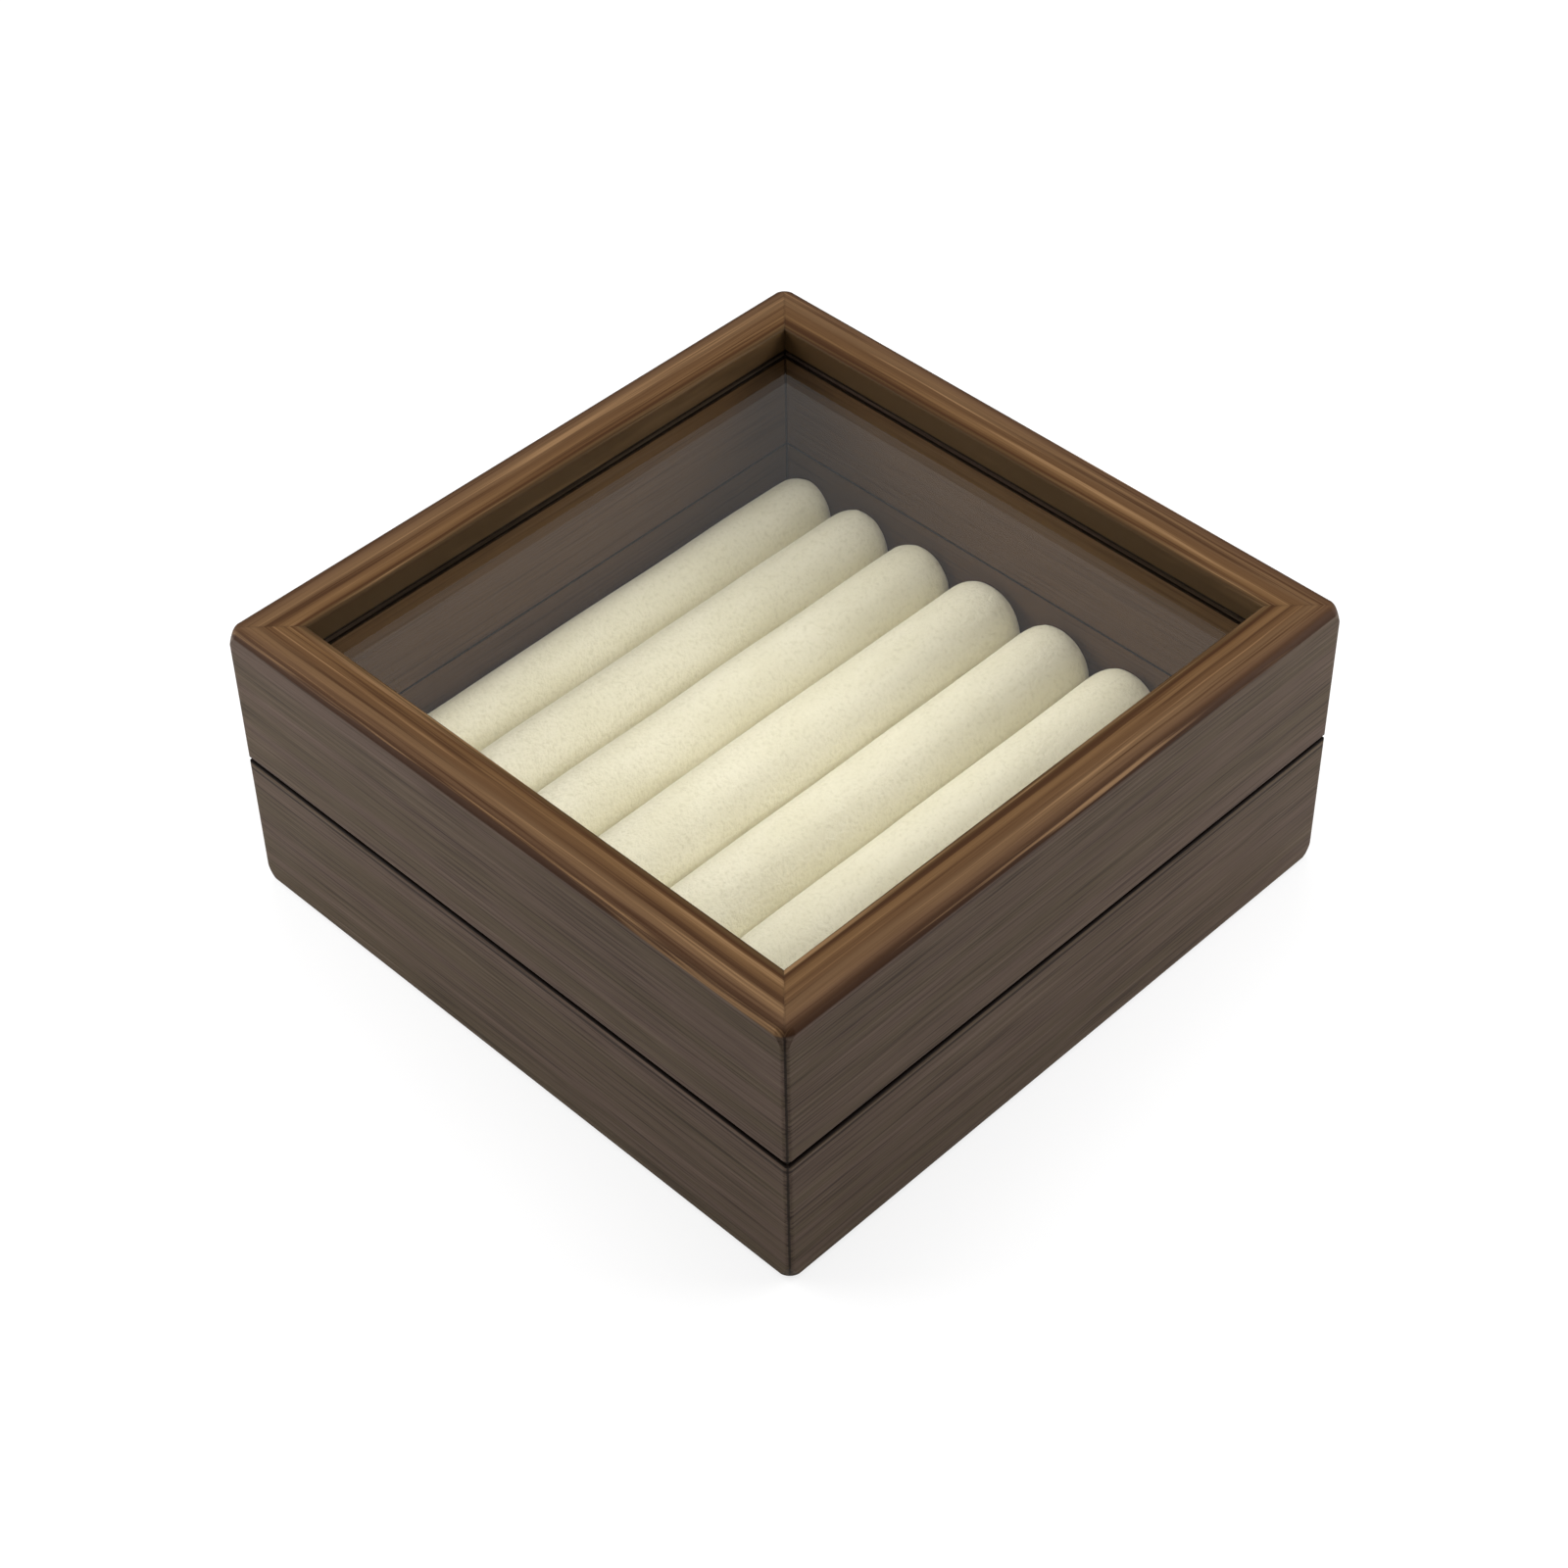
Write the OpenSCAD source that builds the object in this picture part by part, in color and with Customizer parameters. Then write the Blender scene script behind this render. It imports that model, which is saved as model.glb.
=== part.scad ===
// Wooden ring display box with a hinged glazed lid.
// Origin: middle of the underside. +X runs to the right along the front, +Y to the hinged back, +Z up.

/* [Box] */
// Width of the box, left to right
box_w = 150; // [110:1:220]
// Depth of the box, front to back, over the wooden walls
box_d = 148; // [110:1:220]
// Thickness of the four walls, which is also the width of the lid's top rim
wall = 11; // [9.5:0.5:14]
// Height of the base walls on the outside
base_h = 33; // [26:0.1:45]
// Height of the lid walls on the outside
lid_h = 33.5; // [20:0.1:50]
// Open line between the outer lips of base and lid
lip_gap = 1; // [0.4:0.1:1.2]
// Radius of the four upright corners
corner_r = 1.3; // [0.5:0.1:2]
// Radius to which those corners are eased where they end, at the underside and at the top
ease_r = 3.3; // [2.5:0.1:4]
// Height over which that easing fades out along the upright corner
ease_h = 5; // [3:0.5:8]
// Round-over of the lid's top outer edge
top_round = 1.8; // [0.5:0.1:2.2]
// Round-over of the top rim's inner edge
rim_round = 0.6; // [0.2:0.1:1.2]
// Round-over of the base's bottom outer edge
foot_round = 2.2; // [0.5:0.1:2.2]
// Rounding of the two edges that face each other at the lip
lip_round = 0.6; // [0.3:0.1:1.5]

/* [Tongue and rebate] */
// Thickness of the tongue that stands up from the inner half of the base walls
tongue_t = 4.2; // [3:0.1:5]
// Height of the tongue above the base's outer lip
tongue_h = 3.1; // [2.5:0.1:6]
// Play between the tongue's side and the rebate in the lid
tongue_side_gap = 0.3; // [0.2:0.05:0.6]
// Play between the tongue's top and the rebate's ceiling
tongue_top_gap = 0.2; // [0.1:0.05:0.5]
// Rounding of the tongue's two top edges
tongue_round = 0.5; // [0.2:0.1:1]

/* [Glass] */
// Depth of the glass below the top of the rim
glass_drop = 6; // [4:0.1:10]
// Thickness of the glass pane
glass_t = 2.5; // [2:0.1:4]
// Depth of the groove that holds the glass, cut into the inner face of each rail
glass_groove = 4; // [3:0.1:6]
// Play between the glass edge and the bottom of its groove
glass_edge_gap = 0.5; // [0.3:0.1:1]
// Play above the glass in its groove
glass_top_gap = 0.15; // [0.1:0.05:0.4]

/* [Floor] */
// Height of the bottom panel's underside above the surface the box stands on
panel_z = 5.5; // [3:0.1:8]
// Thickness of the bottom panel
panel_t = 4; // [3:0.1:5]
// Depth of the groove that holds the bottom panel
panel_groove = 4; // [3:0.1:6]
// Play round the bottom panel's edge in its groove
panel_edge_gap = 0.5; // [0.3:0.1:1]
// Play above the bottom panel in its groove
panel_top_gap = 0.15; // [0.1:0.05:0.4]
// Thickness of the felt under the bottom panel
felt_t = 1.2; // [0.8:0.1:2]
// Distance from the felt's edge to the walls
felt_inset = 1; // [0.5:0.1:3]
// Thickness of the padded board that carries the rolls
board_t = 4.1; // [3:0.1:6]
// Play between the padded board and the walls
board_gap = 0.5; // [0.3:0.1:1]

/* [Ring rolls] */
// Height of a roll of mean width above the padded board
roll_h = 20.1; // [14:0.1:22]
// Space between the rolls' ends and the side walls
roll_end_gap = 0.3; // [0.2:0.1:3]
// Space between the first and last roll and the front and back walls
roll_side_gap = 0.6; // [0.3:0.1:2]
// Slit between two neighbouring rolls, where a ring is pushed in
roll_slit = 0.2; // [0.1:0.05:1]
// Radius of the round-over at the rolls' ends
roll_end_round = 4; // [3:0.1:6]
// Depth to which a roll is pressed flat where it is glued to the board
roll_flat = 0.5; // [0.2:0.1:1.5]
// Share of the change in width that a roll's height follows
roll_follow = 0.4; // [0:0.05:1]

/* [Hinges] */
// Distance from a side of the box to the middle of the hinge
hinge_inset = 35; // [26:0.5:45]
// Length of a hinge
hinge_len = 28; // [20:0.5:36]
// Thickness of a leaf
leaf_t = 1.1; // [0.8:0.1:1.4]
// Outer diameter of the barrel
barrel_d = 4.2; // [3.6:0.1:5]
// Diameter of the hinge pin
pin_d = 1.8; // [1.4:0.1:2.2]
// Radial play between the pin and the lid leaf's knuckles
pin_run_gap = 0.05; // [0.02:0.01:0.09]
// Radial play between the pin and the base leaf's knuckles, which hold it
pin_hold_gap = 0.02; // [0.01:0.01:0.05]
// Length of the rounded head at each end of the pin
pin_head = 1; // [0.6:0.1:1.5]
// Play between neighbouring knuckles
knuckle_gap = 0.15; // [0.1:0.05:0.3]
// Play between the hinge and the wood round it
mortise_gap = 0.15; // [0.1:0.05:0.3]
// Angle to which the lid opens before its heels meet the back wall
open_angle = 95; // [92:1:100]
// Distance of the pin's axis inside the back face
axis_inset = 0.3; // [0.1:0.05:0.4]
// Length of a stop heel behind the pin's axis
heel_len = 2.1; // [1.9:0.1:3]
// Play that is left between heel and back wall with the lid fully open
heel_gap = 0.1; // [0.05:0.05:0.3]

/* [Screws] */
// Diameter of a hinge screw's shank
screw_d = 1.6; // [1.2:0.1:2]
// Length of a hinge screw
screw_len = 8; // [5:0.5:10]
// Diameter of a hinge screw's countersunk head
screw_head_d = 3; // [2.4:0.1:3.2]
// Distance from the middle of the hinge to each of its screws
screw_spread = 9; // [6:0.5:12]
// Radial play round a screw in leaf and wood
screw_gap = 0.05; // [0.03:0.01:0.1]

/* [Hidden] */
$fn = 64;

// Space that a cut runs past the face it starts from
over = 1;
// Eased corners: how far the turned shape widens to clear the upright edge, and the arc that gives it
ease_s = (ease_r - corner_r) / 2;
ease_d = (ease_h * ease_h + ease_s * ease_s) / (2 * ease_s);
// How far the turned shape stands outside the walls' flat faces, so that its cut runs out on them
ease_lap = 0.06;
// Heights of the lid's lower lip, the tongue's top, the rebate's ceiling and the top of the box
lid_z = base_h + lip_gap;
tongue_z = base_h + tongue_h;
rebate_z = tongue_z + tongue_top_gap;
box_h = lid_z + lid_h;
// Inside width and depth between the walls
inner_w = box_w - 2 * wall;
inner_d = box_d - 2 * wall;
// Top and underside of the glass
glass_top = box_h - glass_drop;
glass_z = glass_top - glass_t;
// Board under the rolls
board_z = panel_z + panel_t;
board_top = board_z + board_t;

// The rolls are sewn by hand and differ in width: shares of the inside depth, front to back
roll_share = [18.3, 18.3, 18.6, 19.7, 17.5, 16.7, 15.7];
roll_n = len(roll_share);
function sum_to(v, n) = n <= 0 ? 0 : v[n - 1] + sum_to(v, n - 1);
share_sum = sum_to(roll_share, roll_n);
roll_span = inner_d - 2 * roll_side_gap;
roll_mean = roll_span / roll_n;
function roll_w(i) = roll_share[i] * roll_span / share_sum;
function roll_y(i) = -inner_d / 2 + roll_side_gap + (sum_to(roll_share, i) + roll_share[i] / 2) * roll_span / share_sum;
// Points round a roll and steps along the round-over at each end
roll_sides = 32;
roll_steps = 5;

// Hinge: axis just inside the back face, halfway across the lip gap, leaves as wide as the lid's lip,
// three base and two lid knuckles
hinge_x = box_w / 2 - hinge_inset;
axis_y = box_d / 2 - axis_inset;
axis_z = base_h + lip_gap / 2;
leaf_w = wall - tongue_t - tongue_side_gap - axis_inset;
knuckles = 5;
knuckle_len = hinge_len / knuckles;
barrel_r = barrel_d / 2;
relief_r = barrel_r + mortise_gap;
heel_lift = axis_inset + heel_len * sin(open_angle - 90) + heel_gap;
screw_y = axis_y - (leaf_w + relief_r) / 2;
head_h = (screw_head_d - screw_d) / 2;

// Removes the corner at the origin outside an arc of radius r, for edges that run along +X and +Y
module round_off(r) {
    difference() {
        translate([-over, -over]) square(r + over);
        translate([r, r]) circle(r);
    }
}

// Turns a wall built along X at y = 0 to its side of the box: 0 front, 1 right, 2 back, 3 left
module on_side(side) {
    rotate([0, 0, 90 * side])
        translate([0, -(side % 2 == 0 ? box_d : box_w) / 2, 0])
            children();
}

// Extrudes a wall's section along its side, mitres both ends and rounds the upright corners;
// the corners are eased at the underside of a base wall and at the top of a lid rail
module mitred_wall(side, at_top) {
    run = side % 2 == 0 ? box_w : box_d;
    difference() {
        intersection() {
            on_side(side) rotate([90, 0, 90]) linear_extrude(run + 2 * over, center = true) children();
            on_side(side) linear_extrude(box_h)
                polygon([[-run / 2, 0], [run / 2, 0], [run / 2 - wall, wall], [-run / 2 + wall, wall]]);
            linear_extrude(box_h) rounded_plan();
        }
        for (end = [0, 1])
            on_side(side) translate([(end - 0.5) * run, 0, at_top ? box_h : 0])
                rotate(at_top ? [180, 0, 90 + 90 * end] : [0, 0, 90 * end])
                    corner_waste(at_top ? top_round : foot_round);
    }
}

// Outline of the box seen from above
module rounded_plan() {
    square([box_w - 2 * corner_r, box_d], center = true);
    square([box_w, box_d - 2 * corner_r], center = true);
    for (x = [-1, 1], y = [-1, 1])
        translate([x * (box_w / 2 - corner_r), y * (box_d / 2 - corner_r)]) circle(corner_r);
}

// What is sanded off a corner at the origin, whose wood is at +X, +Y and +Z and whose lower edges have
// a round-over r: outside a turned shape that nearly follows it and widens to the upright edge
module corner_waste(r) {
    turn_z = r * (1 - ease_h / ease_d);
    arc_x = ease_r - r + ease_lap;
    difference() {
        translate([-over, -over, -over]) cube([ease_r + over, ease_r + over, r + ease_h]);
        translate([ease_r, ease_r, 0]) rotate_extrude() difference() {
            square([2 * ease_r, r + ease_h]);
            translate([0, turn_z]) difference() {
                square([3 * ease_r, r + ease_h]);
                translate([arc_x + ease_s - ease_d, r + ease_h - turn_z]) circle(r + ease_d);
            }
            translate([arc_x, -over]) difference() {
                square([3 * ease_r, turn_z + over]);
                translate([0, r + over]) circle(r);
            }
        }
    }
}

// Section of a base wall: outer lip, tongue on the inner half, groove for the bottom panel
module base_section() {
    difference() {
        union() {
            square([wall, base_h]);
            translate([wall - tongue_t, 0]) square([tongue_t, tongue_z]);
        }
        translate([wall - panel_groove, panel_z])
            square([panel_groove + over, panel_t + panel_top_gap]);
        round_off(foot_round);
        translate([0, base_h]) mirror([0, 1]) round_off(lip_round);
        translate([wall - tongue_t, tongue_z]) mirror([0, 1]) round_off(tongue_round);
        translate([wall, tongue_z]) rotate(180) round_off(tongue_round);
    }
}

// Section of a lid rail: top rim, groove for the glass, rebate that drops over the tongue
module lid_section() {
    difference() {
        translate([0, lid_z]) square([wall, lid_h]);
        translate([wall - tongue_t - tongue_side_gap, lid_z - over])
            square([tongue_t + tongue_side_gap + over, rebate_z - lid_z + over]);
        translate([wall - glass_groove, glass_z])
            square([glass_groove + over, glass_t + glass_top_gap]);
        translate([0, lid_z]) round_off(lip_round);
        translate([0, box_h]) mirror([0, 1]) round_off(top_round);
        translate([wall, box_h]) rotate(180) round_off(rim_round);
    }
}

// Places something at both hinges, in the hinge's own frame: X along the pin, origin on its axis
module at_hinge(side) {
    translate([side * hinge_x, axis_y, axis_z]) children();
}

// Round bar along X, centred
module bar(r, length) {
    rotate([0, 90, 0]) cylinder(r = r, h = length, center = true);
}

// Middle of knuckle i along the pin
function knuckle_x(i) = (i - (knuckles - 1) / 2) * knuckle_len;

// Recess for the barrel and one leaf; up is 1 in the lid and -1 in the base
module hinge_recess(up) {
    bar(relief_r, hinge_len + 2 * pin_head + 2 * mortise_gap);
    leaf_len = hinge_len + 2 * mortise_gap;
    depth = lip_gap / 2 + leaf_t + mortise_gap;
    translate([-leaf_len / 2, -leaf_w - mortise_gap, up > 0 ? 0 : -depth])
        cube([leaf_len, leaf_w + mortise_gap + axis_inset + over, depth]);
    for (s = [-1, 1])
        translate([s * screw_spread, screw_y - axis_y, up * (lip_gap / 2)])
            rotate([up > 0 ? 0 : 180, 0, 0])
                cylinder(d = screw_d + 2 * screw_gap, h = screw_len + 2 * screw_gap);
}

// One leaf with its knuckles; the lid leaf has the even knuckles and the stop heels
module hinge_leaf(up, first, bore_gap) {
    own = [for (i = [first : 2 : knuckles - 1]) i];
    other = [for (i = [1 - first : 2 : knuckles - 1]) i];
    color("goldenrod") difference() {
        union() {
            translate([-hinge_len / 2, -leaf_w, up > 0 ? lip_gap / 2 : -lip_gap / 2 - leaf_t])
                cube([hinge_len, leaf_w, leaf_t]);
            for (i = own)
                translate([knuckle_x(i), 0, 0]) bar(barrel_r, knuckle_len - knuckle_gap);
            if (up > 0)
                for (i = own)
                    translate([knuckle_x(i) - (knuckle_len - knuckle_gap) / 2, 0, heel_lift])
                        cube([knuckle_len - knuckle_gap, heel_len, barrel_r - heel_lift]);
        }
        for (i = other)
            translate([knuckle_x(i), 0, 0]) bar(relief_r, knuckle_len + knuckle_gap);
        if (first == 1)
            for (s = [-1, 1])
                translate([s * (hinge_len / 2), 0, 0]) bar(relief_r, knuckle_gap);
        bar(pin_d / 2 + bore_gap, hinge_len + 2 * over);
        for (s = [-1, 1])
            translate([s * screw_spread, screw_y - axis_y, up * (lip_gap / 2)])
                rotate([up > 0 ? 0 : 180, 0, 0]) {
                    translate([0, 0, -over]) cylinder(d = screw_d + 2 * screw_gap, h = leaf_t + 2 * over);
                    cylinder(d1 = screw_head_d + 2 * screw_gap, d2 = screw_d + 2 * screw_gap, h = head_h);
                }
    }
}

// Pin with a rounded head at each end, turned about its own axis
module hinge_pin() {
    color("goldenrod") rotate([0, 90, 0]) rotate_extrude() intersection() {
        union() {
            translate([0, -hinge_len / 2 - pin_head]) square([pin_d / 2, hinge_len + 2 * pin_head]);
            for (s = [-1, 1])
                translate([0, s * hinge_len / 2]) intersection() {
                    circle(barrel_r - lip_gap / 2);
                    translate([0, s > 0 ? 0 : -pin_head]) square([barrel_r, pin_head]);
                }
        }
        translate([0, -box_h]) square([barrel_r, 2 * box_h]);
    }
}

// Slotted countersunk screw that points up, with its head's face at z = 0
module hinge_screw() {
    color("goldenrod") difference() {
        union() {
            cylinder(d1 = screw_head_d, d2 = screw_d, h = head_h);
            cylinder(d = screw_d, h = screw_len);
        }
        translate([-screw_head_d, -screw_d / 8, -over]) cube([2 * screw_head_d, screw_d / 4, over + head_h / 2]);
    }
}

// The screws of both hinges in one half of the box
module screw_set(up) {
    for (side = [-1, 1], s = [-1, 1])
        translate([side * hinge_x + s * screw_spread, screw_y, axis_z + up * (lip_gap / 2)])
            rotate([up > 0 ? 0 : 180, 0, 0]) hinge_screw();
}

// Points of a roll: rings along X, drawn in towards each end, with the foot pressed flat
function round_in(k) = [roll_end_round * (1 - cos(90 * k / roll_steps)), roll_end_round * (1 - sin(90 * k / roll_steps))];
function roll_stations() = concat(
    [for (k = [0 : roll_steps]) [-roll_len / 2 + round_in(k)[0], round_in(k)[1]]],
    [for (k = [roll_steps : -1 : 0]) [roll_len / 2 - round_in(k)[0], round_in(k)[1]]]
);
roll_len = inner_w - 2 * roll_end_gap;

module ring_roll(i) {
    half_w = (roll_w(i) - roll_slit) / 2;
    half_h = (roll_h + roll_flat + roll_follow * (roll_w(i) - roll_mean)) / 2;
    mid_z = board_top - roll_flat + half_h;
    rings = roll_stations();
    last = len(rings) - 1;
    points = [for (r = rings, k = [0 : roll_sides - 1])
        let (a = 360 * k / roll_sides)
        [r[0], roll_y(i) + (half_w - r[1]) * cos(a), max(board_top, mid_z + (half_h - r[1]) * sin(a))]];
    sides = [for (j = [0 : last - 1], k = [0 : roll_sides - 1])
        let (a = j * roll_sides, b = a + roll_sides, n = (k + 1) % roll_sides)
        each [[a + k, b + k, b + n], [a + k, b + n, a + n]]];
    first_cap = [for (k = [1 : roll_sides - 2]) [0, k, k + 1]];
    last_cap = [for (k = [1 : roll_sides - 2]) [last * roll_sides, last * roll_sides + k + 1, last * roll_sides + k]];
    color("cornsilk") polyhedron(points, concat(sides, first_cap, last_cap));
}

module base_front() { color("#4f4038") mitred_wall(0, false) base_section(); }

module base_right() { color("#4f4038") mitred_wall(1, false) base_section(); }

module base_left() { color("#4f4038") mitred_wall(3, false) base_section(); }

module base_back() {
    color("#4f4038") difference() {
        mitred_wall(2, false) base_section();
        for (side = [-1, 1]) at_hinge(side) hinge_recess(-1);
    }
}

module lid_front() { color("#6e4a2e") mitred_wall(0, true) lid_section(); }

module lid_right() { color("#6e4a2e") mitred_wall(1, true) lid_section(); }

module lid_left() { color("#6e4a2e") mitred_wall(3, true) lid_section(); }

module lid_back() {
    color("#6e4a2e") difference() {
        mitred_wall(2, true) lid_section();
        for (side = [-1, 1]) at_hinge(side) hinge_recess(1);
    }
}

// Panel of board inside the walls, grown by grow on every side
module floor_sheet(grow, z, t) {
    translate([0, 0, z]) linear_extrude(t) square([inner_w + 2 * grow, inner_d + 2 * grow], center = true);
}

module bottom_panel() { color("#5a4636") floor_sheet(panel_groove - panel_edge_gap, panel_z, panel_t); }

module underside_felt() { color("#2c2a29") floor_sheet(-felt_inset, panel_z - felt_t, felt_t); }

module roll_board() { color("cornsilk") floor_sheet(-board_gap, board_z, board_t); }

module glass_pane() { color("lightcyan", 0.35) floor_sheet(glass_groove - glass_edge_gap, glass_z, glass_t); }

base_front();
base_back();
base_left();
base_right();
bottom_panel();
underside_felt();
roll_board();
ring_roll(0);  // ring_roll_1
ring_roll(1);  // ring_roll_2
ring_roll(2);  // ring_roll_3
ring_roll(3);  // ring_roll_4
ring_roll(4);  // ring_roll_5
ring_roll(5);  // ring_roll_6
ring_roll(6);  // ring_roll_7
lid_front();
lid_back();
lid_left();
lid_right();
glass_pane();
at_hinge(-1) hinge_leaf(-1, 0, pin_hold_gap);  // left_hinge_base_leaf
at_hinge(-1) hinge_leaf(1, 1, pin_run_gap);  // left_hinge_lid_leaf
at_hinge(-1) hinge_pin();  // left_hinge_pin
at_hinge(1) hinge_leaf(-1, 0, pin_hold_gap);  // right_hinge_base_leaf
at_hinge(1) hinge_leaf(1, 1, pin_run_gap);  // right_hinge_lid_leaf
at_hinge(1) hinge_pin();  // right_hinge_pin
screw_set(-1);  // base_hinge_screws
screw_set(1);  // lid_hinge_screws
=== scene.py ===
import math

import bpy
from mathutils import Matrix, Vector, noise


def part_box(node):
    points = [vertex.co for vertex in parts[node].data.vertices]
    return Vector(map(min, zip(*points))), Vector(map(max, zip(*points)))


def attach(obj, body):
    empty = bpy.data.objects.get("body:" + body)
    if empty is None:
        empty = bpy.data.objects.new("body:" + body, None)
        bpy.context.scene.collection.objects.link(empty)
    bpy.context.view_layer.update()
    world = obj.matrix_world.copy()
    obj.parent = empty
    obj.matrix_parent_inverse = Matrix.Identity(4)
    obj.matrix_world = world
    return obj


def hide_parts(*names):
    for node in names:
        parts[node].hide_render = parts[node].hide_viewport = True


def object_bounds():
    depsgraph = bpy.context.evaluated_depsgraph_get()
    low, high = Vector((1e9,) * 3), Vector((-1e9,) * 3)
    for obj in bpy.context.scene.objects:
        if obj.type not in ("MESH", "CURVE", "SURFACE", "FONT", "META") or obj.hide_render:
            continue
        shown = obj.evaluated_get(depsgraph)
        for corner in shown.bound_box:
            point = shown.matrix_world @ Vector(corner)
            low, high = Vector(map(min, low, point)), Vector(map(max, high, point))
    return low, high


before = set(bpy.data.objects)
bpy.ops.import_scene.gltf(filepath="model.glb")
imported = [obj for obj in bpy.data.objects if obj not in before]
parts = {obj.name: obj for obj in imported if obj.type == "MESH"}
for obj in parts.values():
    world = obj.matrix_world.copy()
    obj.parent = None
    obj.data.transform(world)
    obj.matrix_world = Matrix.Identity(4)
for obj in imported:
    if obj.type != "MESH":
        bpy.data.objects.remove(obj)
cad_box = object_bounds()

box_low, box_high = cad_box


# Camera: a short telephoto that looks down over the near corner, with a slight tilt to one side.
# It stands where the box's own edges put it, and points at a spot low in the middle of the box.
camera_place = Vector((-0.3324, -0.3365, 0.4852))
camera_aim = Vector((-0.0089, -0.0080, 0.0350))
camera_tilt = math.radians(-1.21)
lens_mm, film_mm = 76.97, 36.0

bpy.ops.object.camera_add(location=camera_place)
camera = bpy.context.object
camera.name = "camera"
camera.data.lens = lens_mm
camera.data.sensor_width = film_mm
camera.data.clip_start, camera.data.clip_end = 0.05, 20
camera.rotation_mode = "QUATERNION"
camera.rotation_quaternion = (camera_aim - camera_place).to_track_quat("-Z", "Y")
bpy.context.view_layer.update()
camera.rotation_mode = "XYZ"
camera.rotation_euler.rotate_axis("Z", camera_tilt)
bpy.context.scene.camera = camera


# Shader arithmetic: a Level is a number that changes over a surface, and sums on it add Math nodes.
# A Finish is one material. It adds every other node by type, settings and inputs.
class Level:
    def __init__(self, finish, socket):
        self.finish, self.socket = finish, socket

    def maths(self, operation, *others):
        return self.finish.add("ShaderNodeMath", {"operation": operation}, dict(enumerate((self, *others))))

    def __add__(self, other):
        return self.maths("ADD", other)

    def __mul__(self, other):
        return self.maths("MULTIPLY", other)

    def __sub__(self, other):
        return self.maths("SUBTRACT", other)

    def __rsub__(self, other):
        return self.maths("MULTIPLY", -1) + other

    def __truediv__(self, other):
        return self * (1 / other)

    __radd__, __rmul__ = __add__, __mul__

    def size(self):
        return self.maths("ABSOLUTE")

    def step(self, low, high):
        """0 below low, 1 above high, and smooth between them."""
        inputs = {"Value": self, "From Min": low, "From Max": high}
        return self.finish.add("ShaderNodeMapRange", {"interpolation_type": "SMOOTHSTEP"}, inputs)


class Finish:
    def __init__(self, name):
        self.material = bpy.data.materials.new(name)
        self.material.use_nodes = True
        self.tree = self.material.node_tree
        self.tree.nodes.clear()
        self.output = self.tree.nodes.new("ShaderNodeOutputMaterial")

    def put(self, socket, value):
        if isinstance(value, Level):
            self.tree.links.new(value.socket, socket)
        elif value is not None:
            socket.default_value = value

    def add(self, kind, settings=None, inputs=None, outs=(0,)):
        node = self.tree.nodes.new(kind)
        for name, value in (settings or {}).items():
            if name == "stops":
                self.stops(node.color_ramp.elements, value)
            else:
                setattr(node, name, value)
        for key, value in (inputs or {}).items():
            self.put(node.inputs[key], value)
        made = [Level(self, node.outputs[out]) for out in outs]
        return made[0] if len(made) == 1 else made

    def stops(self, elements, stops):
        """A ramp's stops, each a place from 0 to 1 and a colour."""
        for index, (place, colour) in enumerate(stops):
            stop = elements[index] if index < len(elements) else elements.new(place)
            stop.position, stop.color = place, (*colour, 1.0)

    def place(self):
        """The surface point's own coordinates in metres."""
        point = self.add("ShaderNodeTexCoord", outs=("Object",))
        return self.add("ShaderNodeSeparateXYZ", None, {0: point}, outs=("X", "Y", "Z"))

    def point(self, x, y, z):
        return self.add("ShaderNodeCombineXYZ", None, {"X": x, "Y": y, "Z": z})

    def cloudy(self, point, detail=3.0, roughness=0.5, distortion=0.0):
        """Noise from 0 to 1 whose patches are about one unit wide."""
        inputs = {"Vector": point, "Scale": 1.0, "Detail": detail, "Roughness": roughness, "Distortion": distortion}
        return self.add("ShaderNodeTexNoise", None, inputs)

    def blend(self, factor, first, second, kind="MIX"):
        """One colour into another; the colours are links or three numbers."""
        pair = [(*c, 1.0) if isinstance(c, tuple) else c for c in (first, second)]
        settings = {"data_type": "RGBA", "blend_type": kind, "clamp_factor": True}
        return self.add("ShaderNodeMix", settings, {0: factor, 6: pair[0], 7: pair[1]}, outs=(2,))

    def bump(self, height, distance, strength=1.0):
        return self.add("ShaderNodeBump", None, {"Height": height, "Distance": distance, "Strength": strength})

    def surface(self, **sockets):
        """A Principled shader on the output, its sockets named with underscores for spaces."""
        named = {key.replace("_", " "): value for key, value in sockets.items()}
        colour = named.get("Base Color")
        if isinstance(colour, tuple):
            named["Base Color"] = (*colour, 1.0)
        shader = self.add("ShaderNodeBsdfPrincipled", None, named)
        self.tree.links.new(shader.socket, self.output.inputs["Surface"])
        return shader


def dress(node_object, finish):
    """Gives every slot of a piece the same finish."""
    slots = node_object.data.materials
    slots.clear()
    slots.append(finish.material)


# Studio: a white sweep under and behind the box, a white surround, two large lamps overhead and a
# soft panel at each side. To the camera the sweep is plain white; it keeps the box's shadow.
sweep_size = 8.0
sweep_white = (0.84, 0.84, 0.84)
sweep_glow, glow_strength = 0.72, 1.03
surround_white = (1.0, 1.0, 1.0, 1.0)
surround_level = 0.10
mirrored_level = 0.47
lamps = {
    "front_overhead_lamp": ((-0.25, -0.15, 1.30), 1.0, 7.3),
    "back_overhead_lamp": ((0.30, 0.30, 1.20), 0.60, 6.4),
    "left_panel": ((-0.30, 0.37, 0.22), 0.40, 3.2),
    "right_panel": ((0.37, -0.30, 0.22), 0.40, 3.1),
}

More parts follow.
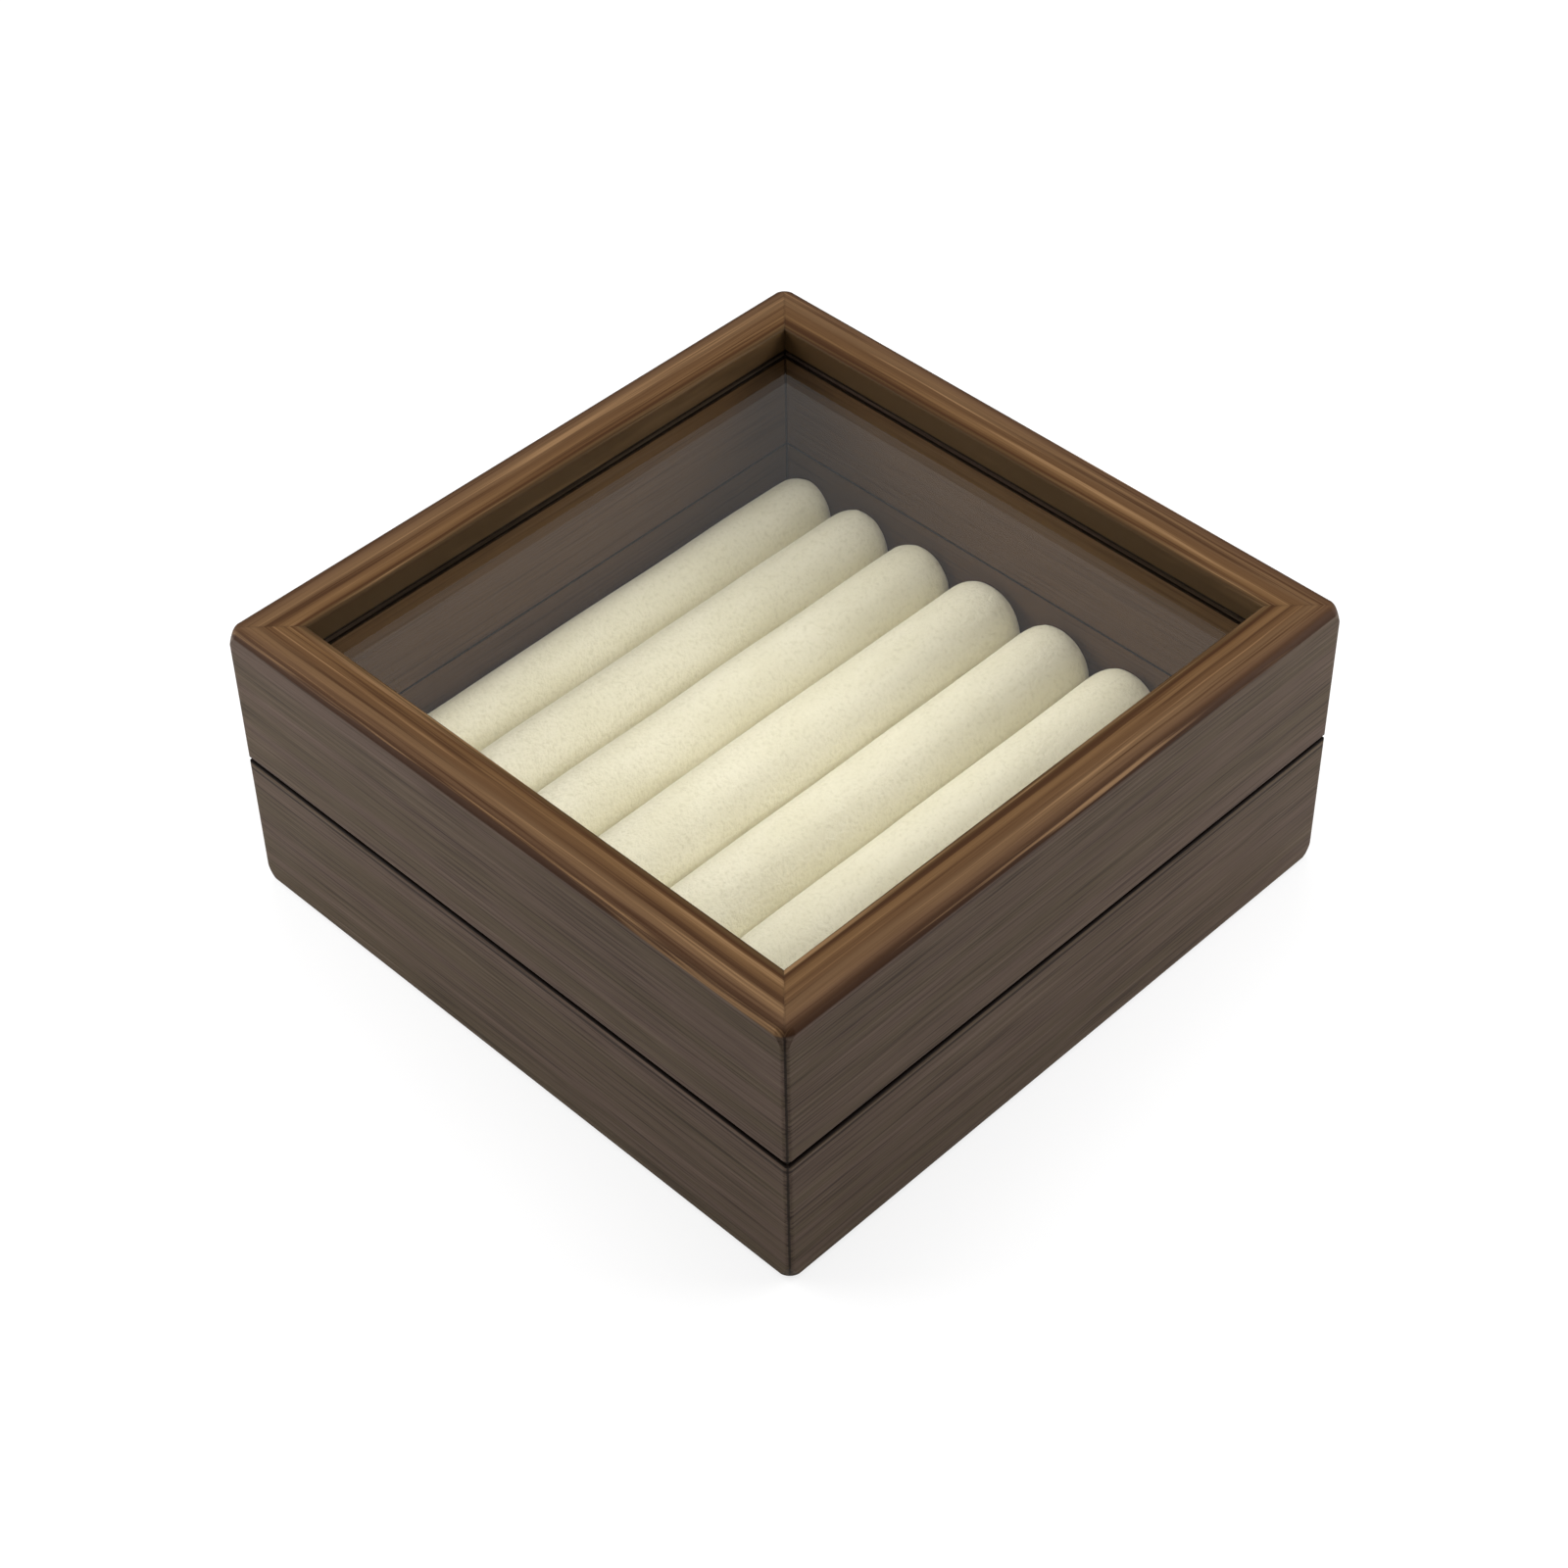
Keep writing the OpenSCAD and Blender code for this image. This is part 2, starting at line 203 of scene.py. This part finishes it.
bpy.ops.mesh.primitive_plane_add(size=sweep_size, location=(0, 0, 0))
floor = bpy.context.object
floor.name = "studio_floor"
paper = Finish("studio_paper")
seen = paper.add("ShaderNodeLightPath", outs=("Is Camera Ray",))
matt = paper.add("ShaderNodeBsdfDiffuse", None, {"Color": (*sweep_white, 1.0)})
glow = paper.add("ShaderNodeEmission", None, {"Color": surround_white, "Strength": glow_strength})
lit = paper.add("ShaderNodeMixShader", None, {0: seen * sweep_glow, 1: matt, 2: glow})
paper.tree.links.new(lit.socket, paper.output.inputs["Surface"])
dress(floor, paper)

world = bpy.data.worlds.new("studio_surround")
bpy.context.scene.world = world
world.use_nodes = True
nodes, links = world.node_tree.nodes, world.node_tree.links
sky = nodes["Background"]
sky.inputs["Color"].default_value = surround_white
path = nodes.new("ShaderNodeLightPath")
mirrored = nodes.new("ShaderNodeMath")
mirrored.operation = "MULTIPLY"
links.new(path.outputs["Is Glossy Ray"], mirrored.inputs[0])
mirrored.inputs[1].default_value = (mirrored_level - surround_level) / (1 - surround_level)
direct = nodes.new("ShaderNodeMath")
direct.operation = "MAXIMUM"
links.new(path.outputs["Is Camera Ray"], direct.inputs[0])
links.new(mirrored.outputs[0], direct.inputs[1])
level = nodes.new("ShaderNodeMapRange")
level.inputs["To Min"].default_value = surround_level
level.inputs["To Max"].default_value = 1.0
links.new(direct.outputs[0], level.inputs["Value"])
links.new(level.outputs[0], sky.inputs["Strength"])

for name, (place, size, watts) in lamps.items():
    bpy.ops.object.light_add(type="AREA", location=place)
    lamp = bpy.context.object
    lamp.name = name
    lamp.data.size = size
    lamp.data.energy = watts
    lamp.rotation_mode = "QUATERNION"
    lamp.rotation_quaternion = (-Vector(place)).to_track_quat("-Z", "Y")
bpy.context.scene.view_settings.view_transform = "Standard"


# Base: four mitred walls of greyish brown walnut veneer with a satin lacquer, grain along each wall,
# browner inside. They are glued at the mitres, which show as a thin dark line down each corner.
# The base's shoulder and tongue and the lid's lower edge are painted near black as painted shade, so that the gap
# under the lid reads as a line.
half_w, half_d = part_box("base_right")[1].x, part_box("base_back")[1].y
wall_olive = (0.060, 0.043, 0.027)
wall_violet = (0.073, 0.049, 0.037)
inner_brown = (0.098, 0.054, 0.024)
line_dark = (0.019, 0.012, 0.008)
line_light = (0.112, 0.082, 0.060)
glue_dark = (0.012, 0.008, 0.006)
shade_dark = (0.0035, 0.0016, 0.0008)
glue_line = 0.00045
lip_line_drop, lip_line_half, lip_line_depth = 0.00135, 0.00022, 0.002
# How far in from the outer face the painted shade in the gap under the lid reaches.
painted_shade_depth = 0.0075
seam_half = 0.0002
lip_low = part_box("base_front")[1].z - 0.0031
lip_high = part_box("lid_front")[0].z
tongue_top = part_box("base_front")[1].z
wall_width = half_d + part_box("lid_front")[1].y
glass_low, glass_top = (corner.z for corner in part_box("glass_pane"))


def walnut(name, runs_along_x, seed, rail=False):
    """Veneer whose grain runs along its wall. A lid rail has warmer wood on its top and inner edge, and the inner
    edge is painted darker as painted shade.
    """
    finish = Finish(name)
    x, y, z = finish.place()
    run, across = (x, half_d - y.size()) if runs_along_x else (y, half_w - x.size())
    drift = finish.cloudy(finish.point(run * 16 + seed, across * 25, z * 25), 2.0) - 0.5
    broad = finish.cloudy(finish.point(run * 5 + seed, across * 190, z * 190 + drift * 0.5), 3.0, 0.6)
    lines = finish.cloudy(finish.point(run * 20 + seed, across * 1450, z * 1450 + drift * 1.5), 2.0, 0.65)
    fine = finish.cloudy(finish.point(run * 45 + seed, across * 2300, z * 2300), 1.0)
    inside = across.step(wall_width - 0.0006, wall_width - 0.0004)
    tone = finish.blend(broad.step(0.35, 0.65), wall_olive, wall_violet)
    tone = finish.blend(inside * 0.80, tone, inner_brown)
    line_strength = 1 - inside * 0.5
    tone = finish.blend(lines.step(0.50, 0.30) * 0.70 * line_strength, tone, line_dark)
    tone = finish.blend(lines.step(0.52, 0.70) * 0.50 * line_strength, tone, line_light)
    tone = finish.blend(fine.step(0.52, 0.68) * 0.38 * line_strength, tone, line_dark)
    mitre = ((half_w - x.size()) - (half_d - y.size())).size()
    joint = mitre.step(glue_line, glue_line * 0.4) * 0.75
    if rail:
        top = z.step(rim_height - 0.0003, rim_height + 0.0002)
        inner = across.step(wall_width - 0.0004, wall_width - 0.0001) * z.step(glass_top - 0.0012, glass_top)
        waver = across + drift * 0.0011
        figure = finish.add("ShaderNodeValToRGB", {"stops": rail_figure}, {0: waver / wall_width})
        streak = finish.cloudy(finish.point(run * 7 + seed, waver * 620, z * 60), 4.0, 0.65)
        warm = finish.blend(streak.step(0.49, 0.34) * 0.80, figure, rail_dark)
        warm = finish.blend(streak.step(0.54, 0.68) * 0.70, warm, rail_light)
        warm = finish.blend(fine.step(0.50, 0.75) * 0.25, warm, rail_dark)
        # Painted shade: the inner edge above the glass gets the same walnut painted a darker brown.
        warm = finish.blend(inner * 0.75, warm, rail_inner_shaded)
        warmth = top.maths("MAXIMUM", inner)
        tone = finish.blend(warmth, tone, warm)
        joint = joint * (1 - warmth * 0.8)
    else:
        lip = (z - (lip_low - lip_line_drop)).size().step(lip_line_half * 2, lip_line_half)
        tone = finish.blend(lip * across.step(lip_line_depth + 0.001, lip_line_depth) * 0.75, tone, glue_dark)
    # Painted shade: the base's shoulder and tongue and the lid's lower edge are painted near black where shade
    # falls in the gap between them.
    gap = z.step(lip_low - 0.00035, lip_low - 0.0001) * z.step(lip_high + 0.0006, lip_high + 0.0003)
    tone = finish.blend(gap * across.step(painted_shade_depth + 0.001, painted_shade_depth), tone, shade_dark)
    # Painted shade: a near-black line on the inner faces along the seam where the lid rests on the tongue, where
    # shade falls between the parts.
    seam = (z - tongue_top).size().step(seam_half + 0.00025, seam_half)
    # Painted shade: a near-black band on the rails' inner faces along the glass, where shade falls in the groove
    # that holds it.
    glass_edge_shade = z.step(glass_low - 0.0006, glass_low - 0.0003) * z.step(glass_top + 0.0008, glass_top + 0.0005)
    tone = finish.blend(inside * seam.maths("MAXIMUM", glass_edge_shade), tone, shade_dark)
    tone = finish.blend(joint, tone, glue_dark)
    finish.surface(
        Base_Color=tone, Roughness=0.42 + lines * 0.14, Specular_IOR_Level=0.04,
        Normal=finish.bump(lines + fine * 0.3, 0.00005, 0.3),
    )
    return finish


for seed, side in enumerate(("front", "back", "left", "right")):
    dress(parts[f"base_{side}"], walnut(f"base_{side}_walnut", side in ("front", "back"), 3.7 * seed))


# Lid frame: four mitred rails. Their top faces and the inner edge above the glass are warm walnut
# with strong streaks along each rail, darkest at both edges; the inner edge is painted darker as painted shade.
# Their sides match the base.
rail_dark = (0.036, 0.015, 0.006)
rail_light = (0.240, 0.140, 0.068)
# The rails' walnut made darker for the inner edge above the glass, as painted shade.
rail_inner_shaded = (0.052, 0.031, 0.0135)
rail_figure = (
    (0.00, (0.026, 0.011, 0.005)), (0.10, (0.044, 0.021, 0.010)), (0.20, (0.092, 0.050, 0.026)),
    (0.31, (0.118, 0.066, 0.032)), (0.42, (0.104, 0.058, 0.028)), (0.50, (0.084, 0.043, 0.019)),
    (0.62, (0.092, 0.047, 0.020)), (0.71, (0.126, 0.068, 0.029)), (0.78, (0.104, 0.054, 0.022)),
    (0.86, (0.042, 0.017, 0.006)), (0.92, (0.070, 0.039, 0.016)), (1.00, (0.036, 0.019, 0.008)),
)
rim_height = box_high.z - 0.0014

for seed, side in enumerate(("front", "back", "left", "right")):
    rails = walnut(f"lid_{side}_walnut", side in ("front", "back"), 11.3 + 2.9 * seed, rail=True)
    dress(parts[f"lid_{side}"], rails)


# Glass: a flat clear pane in the lid's grooves. It mirrors the white surround a little.
# Lamps shine through it, so that the rolls below are lit as through thin glass.
pane = Finish("clear_glass")
clear = pane.surface(
    Base_Color=(0.985, 0.982, 0.972), Roughness=0.0, IOR=1.45, Transmission_Weight=1.0,
)
lamp_ray, matt_ray = pane.add("ShaderNodeLightPath", outs=("Is Shadow Ray", "Is Diffuse Ray"))
through = pane.add("ShaderNodeBsdfTransparent", None, {"Color": (0.96, 0.957, 0.95, 1.0)})
both = pane.add("ShaderNodeMixShader", None, {0: lamp_ray.maths("MAXIMUM", matt_ray), 1: clear, 2: through})
pane.tree.links.new(both.socket, pane.output.inputs["Surface"])
dress(parts["glass_pane"], pane)


# Bottom panel: thin plywood in the base's grooves, plain birch face, only seen from inside and below.
ply = Finish("plywood_panel")
x, y, z = ply.place()
grain = ply.cloudy(ply.point(x * 12, y * 380, z * 380), 4.0, 0.6)
speck = ply.cloudy(ply.point(x * 150, y * 2400, z * 2400), 1.0)
pale = ply.blend(grain.step(0.3, 0.7), (0.30, 0.20, 0.12), (0.40, 0.29, 0.18))
pale = ply.blend(speck.step(0.6, 0.75) * 0.4, pale, (0.18, 0.11, 0.06))
ply.surface(Base_Color=pale, Roughness=0.6 + speck * 0.1, Normal=ply.bump(speck, 0.00005, 0.4))
dress(parts["bottom_panel"], ply)


# Velvet: cream cotton velvet with a short pile, woven in one length and cut for rolls and board.
# It is a little mottled where it has been brushed.
def velvet(name, seed):
    finish = Finish(name)
    x, y, z = finish.place()
    brushed = finish.cloudy(finish.point(x * 55 + seed, y * 120, z * 120), 3.0, 0.55)
    pile = finish.cloudy(finish.point(x * 1100 + seed, y * 1100, z * 1100), 3.0, 0.65)
    cloth = finish.blend(brushed.step(0.3, 0.7), (0.780, 0.738, 0.548), (0.826, 0.785, 0.606))
    cloth = finish.blend(pile.step(0.52, 0.30) * 0.50, cloth, (0.640, 0.596, 0.415))
    finish.surface(
        Base_Color=cloth, Roughness=0.92, Sheen_Weight=0.35, Sheen_Roughness=0.45,
        Sheen_Tint=(1.0, 0.98, 0.9, 1.0), Specular_IOR_Level=0.2,
        Normal=finish.bump(pile + brushed * 0.6, 0.0005, 0.6),
    )
    return finish


# Ring rolls: foam sausages in velvet sleeves, side by side and glued to the board under them.
# Each starts as the plain roll, a little thinner, and is blown up as cloth with its foot held.
def only(piece):
    """Selects one piece and nothing else."""
    bpy.ops.object.select_all(action="DESELECT")
    piece.select_set(True)
    bpy.context.view_layer.objects.active = piece


def copy_of(node, name):
    """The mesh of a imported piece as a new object, its loose triangles joined up."""
    piece = bpy.data.objects.new(name, parts[node].data.copy())
    bpy.context.scene.collection.objects.link(piece)
    only(piece)
    bpy.ops.object.mode_set(mode="EDIT")
    bpy.ops.mesh.select_all(action="SELECT")
    bpy.ops.mesh.remove_doubles(threshold=0.00001)
    bpy.ops.mesh.customdata_custom_splitnormals_clear()
    bpy.ops.object.mode_set(mode="OBJECT")
    return piece


sleeve_mesh = 0.0019
sleeve_slack = 0.0005
sleeve_growth = 0.0007
glued_height = 0.0012
foot_press = 0.0003
wave_height, waves_above = 0.00035, 0.002
board_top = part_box("roll_board")[1].z


def blow_up(piece):
    """Cloth with air in it, held where it is glued to the board, and kept near where it started."""
    foot = piece.vertex_groups.new(name="foot")
    foot.add([v.index for v in piece.data.vertices if v.co.z < board_top + glued_height], 1.0, "REPLACE")
    start = [v.co.copy() for v in piece.data.vertices]
    cloth = piece.modifiers.new("sleeve", "CLOTH")
    cloth.settings.quality = 6
    cloth.settings.mass = 0.2
    cloth.settings.tension_stiffness = cloth.settings.compression_stiffness = 20
    cloth.settings.bending_stiffness = 0.6
    cloth.settings.vertex_group_mass = "foot"
    cloth.settings.use_pressure = True
    cloth.settings.uniform_pressure_force = 4.0
    cloth.settings.effector_weights.gravity = 0.0
    cloth.collision_settings.use_collision = False
    for f in range(1, 21):
        bpy.context.scene.frame_set(f)
    only(piece)
    bpy.ops.object.modifier_apply(modifier="sleeve")
    bpy.context.scene.frame_set(1)
    for vertex, place in zip(piece.data.vertices, start):
        move = vertex.co - place
        if move.length > sleeve_growth:
            vertex.co = place + move.normalized() * sleeve_growth


def settle(piece, space):
    """Stretches a roll a little to fill its space, and presses its foot flat on the board."""
    places = [v.co.copy() for v in piece.data.vertices]
    for axis in range(3):
        low, high = min(p[axis] for p in places), max(p[axis] for p in places)
        room_low, room_high = space[0][axis] - (foot_press if axis == 2 else 0), space[1][axis]
        for vertex, place in zip(piece.data.vertices, places):
            vertex.co[axis] = room_low + (place[axis] - low) / (high - low) * (room_high - room_low)
    for vertex in piece.data.vertices:
        vertex.co.z = max(vertex.co.z, board_top)


for number in range(1, 8):
    roll = copy_of(f"ring_roll_{number}", f"velvet_roll_{number}")
    bpy.ops.object.mode_set(mode="EDIT")
    bpy.ops.mesh.select_all(action="SELECT")
    bpy.ops.transform.shrink_fatten(value=-sleeve_slack)
    bpy.ops.object.mode_set(mode="OBJECT")
    remesh = roll.modifiers.new("even_mesh", "REMESH")
    remesh.mode = "VOXEL"
    remesh.voxel_size = sleeve_mesh
    bpy.ops.object.modifier_apply(modifier="even_mesh")
    blow_up(roll)
    for vertex in roll.data.vertices:
        if vertex.co.z > board_top + waves_above:
            wave = noise.noise(vertex.co * 45 + Vector((0, 0, 7.3 * number)))
            vertex.co.z += wave_height * wave
    smooth = roll.modifiers.new("smooth", "SMOOTH")
    smooth.factor, smooth.iterations = 0.5, 4
    bpy.ops.object.modifier_apply(modifier="smooth")
    finer = roll.modifiers.new("finer", "SUBSURF")
    finer.levels = finer.render_levels = 1
    bpy.ops.object.modifier_apply(modifier="finer")
    settle(roll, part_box(f"ring_roll_{number}"))
    bpy.ops.object.shade_smooth()
    dress(roll, velvet(f"cream_velvet_{number}", 5.1 * number))
    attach(roll, "base")
    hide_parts(f"ring_roll_{number}")


# Board under the rolls: stiff board with thin padding, wrapped in the same velvet, edges turned under.
board = copy_of("roll_board", "velvet_board")
edge = board.modifiers.new("turned_edge", "BEVEL")
edge.width, edge.segments = 0.0011, 4
bpy.ops.object.modifier_apply(modifier="turned_edge")
bpy.ops.object.shade_smooth_by_angle(angle=math.radians(40))
dress(board, velvet("cream_velvet_board", 51.0))
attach(board, "base")
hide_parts("roll_board")


# Felt: a thin black sheet glued under the bottom panel, its edges a little frayed and rounded.
felt_sheet = copy_of("underside_felt", "felt_sheet")
felt_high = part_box("underside_felt")[1]
fray_size, edge_width = 0.0002, 0.0001
bpy.ops.object.mode_set(mode="EDIT")
bpy.ops.mesh.select_all(action="SELECT")
bpy.ops.mesh.tris_convert_to_quads()
bpy.ops.mesh.subdivide(number_cuts=60)
bpy.ops.object.mode_set(mode="OBJECT")
for vertex in felt_sheet.data.vertices:
    fray = fray_size + fray_size * noise.noise(vertex.co * 900)
    for axis in (0, 1):
        if abs(vertex.co[axis]) > felt_high[axis] - edge_width:
            vertex.co[axis] -= math.copysign(fray, vertex.co[axis])
felt = Finish("black_felt")
x, y, z = felt.place()
fuzz = felt.cloudy(felt.point(x * 1300, y * 1300, z * 1300), 3.0, 0.7)
blot = felt.cloudy(felt.point(x * 90, y * 90, z * 90), 2.0)
nap = felt.blend(fuzz.step(0.25, 0.75), (0.018, 0.017, 0.018), (0.050, 0.047, 0.046))
nap = felt.blend(blot * 0.3, nap, (0.035, 0.033, 0.033))
felt.surface(Base_Color=nap, Roughness=0.95, Sheen_Weight=0.3, Normal=felt.bump(fuzz, 0.0003, 0.7))
dress(felt_sheet, felt)
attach(felt_sheet, "base")
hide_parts("underside_felt")


# Hinges: stamped brass leaves, rolled knuckles, turned pins and slotted brass screws, all satin.
brass = Finish("satin_brass")
x, y, z = brass.place()
drawn = brass.cloudy(brass.point(x * 60, y * 2200, z * 2200), 2.0)
tarnish = brass.cloudy(brass.point(x * 300, y * 300, z * 300), 3.0, 0.6)
metal = brass.blend(tarnish.step(0.35, 0.75) * 0.6, (0.78, 0.57, 0.27), (0.50, 0.33, 0.14))
brass.surface(
    Base_Color=metal, Metallic=1.0, Roughness=0.26 + drawn * 0.12 + tarnish * 0.1,
    Normal=brass.bump(drawn, 0.00003, 0.5),
)
for name in parts:
    if "hinge" in name:
        dress(parts[name], brass)
